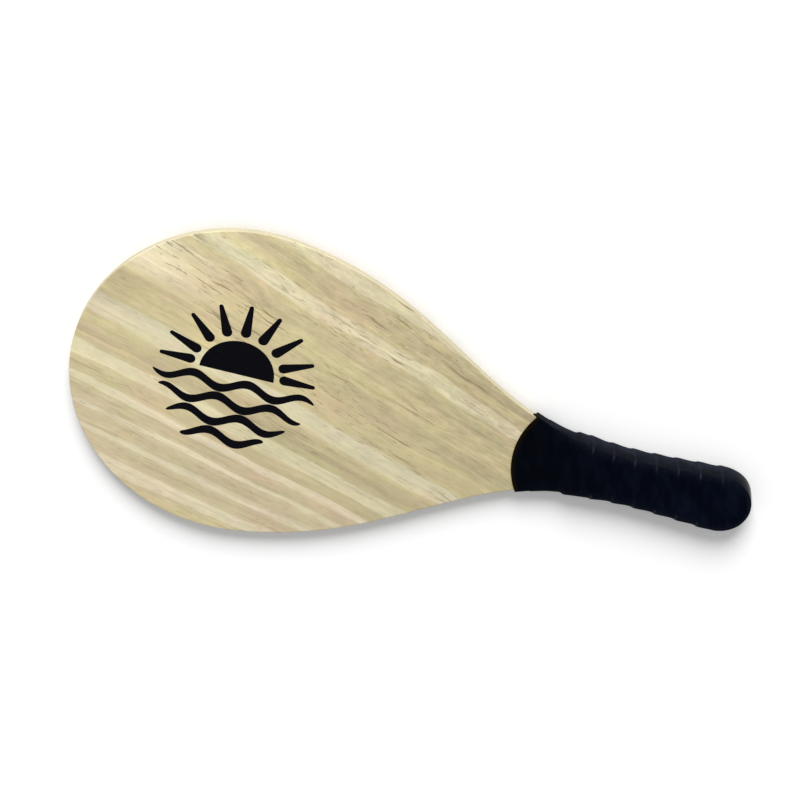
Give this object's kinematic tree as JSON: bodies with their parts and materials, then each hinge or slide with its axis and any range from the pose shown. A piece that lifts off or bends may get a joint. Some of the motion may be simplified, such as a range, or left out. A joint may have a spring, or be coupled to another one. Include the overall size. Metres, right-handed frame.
{
  "type": "frescobol racket",
  "caption": "Wooden beach racket with a round plywood blade, a tapering throat and a wound handle under a rubber sleeve.",
  "frame": {"origin": "centre of the racket's bounding box in plan, on the surface that the back of the grip lies on", "axes": "+X along the racket towards the butt, +Y across the blade, +Z out of the front face"},
  "size_m": [0.48, 0.237, 0.0182],
  "materials": {
    "face_veneer": "sanded pale pine veneer under a thin matt varnish, with open pores",
    "cross_veneer": "pale veneer seen end on at the blade's edge, sanded",
    "centre_veneer": "pale veneer seen at the blade's edge, sanded",
    "cheek_wood": "sawn and sanded softwood",
    "winding_tape": "dark woven tape",
    "grip_rubber": "blue-black rubber with a fine matt skin"
  },
  "bodies": {
    "root": {"face_ply_front": "face_veneer", "cross_ply_front": "cross_veneer", "centre_ply": "centre_veneer", "cross_ply_back": "cross_veneer", "face_ply_back": "face_veneer", "handle_cheek_front": "cheek_wood", "handle_cheek_back": "cheek_wood", "grip_winding": "winding_tape", "grip_sleeve": "grip_rubber"}
  },
  "joints": []
}
